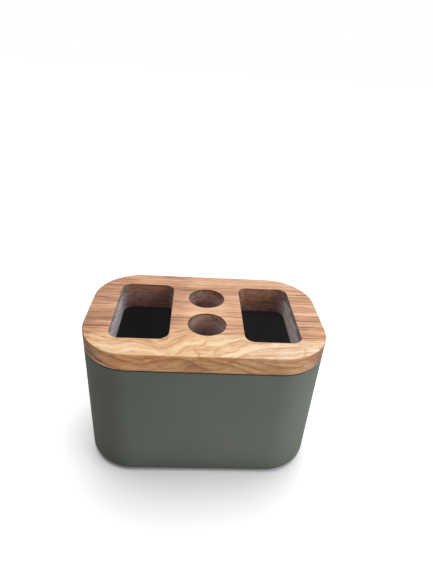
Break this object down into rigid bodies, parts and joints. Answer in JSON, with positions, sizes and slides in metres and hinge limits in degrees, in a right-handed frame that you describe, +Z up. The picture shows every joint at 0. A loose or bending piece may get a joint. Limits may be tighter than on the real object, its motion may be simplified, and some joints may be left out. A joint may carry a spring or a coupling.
{
  "type": "bathroom organizer",
  "caption": "Bathroom organizer: a matte sage-green box with rounded corners and a thick lift-off olive-wood lid cut with oblong compartments and round toothbrush holes.",
  "frame": {"origin": "middle of the object's footprint, on the surface that the feet stand on", "axes": "+X along the long side towards the right as seen from the front, +Y from the front to the back, +Z up"},
  "size_m": [0.155, 0.097, 0.101],
  "materials": {
    "container": "matte sage-green glaze, fine even tooth",
    "lid": "oiled olive wood, satin",
    "feet": "matte"
  },
  "bodies": {
    "container": {"container": "container", "foot_front_left": "feet", "foot_front_right": "feet", "foot_rear_left": "feet", "foot_rear_right": "feet"},
    "lid": {"lid": "lid"}
  },
  "joints": [
    {"name": "lid_lift", "type": "slide", "parent": "container", "child": "lid", "axis": [0, 0, 1], "range_m": [0, 0.05]}
  ]
}
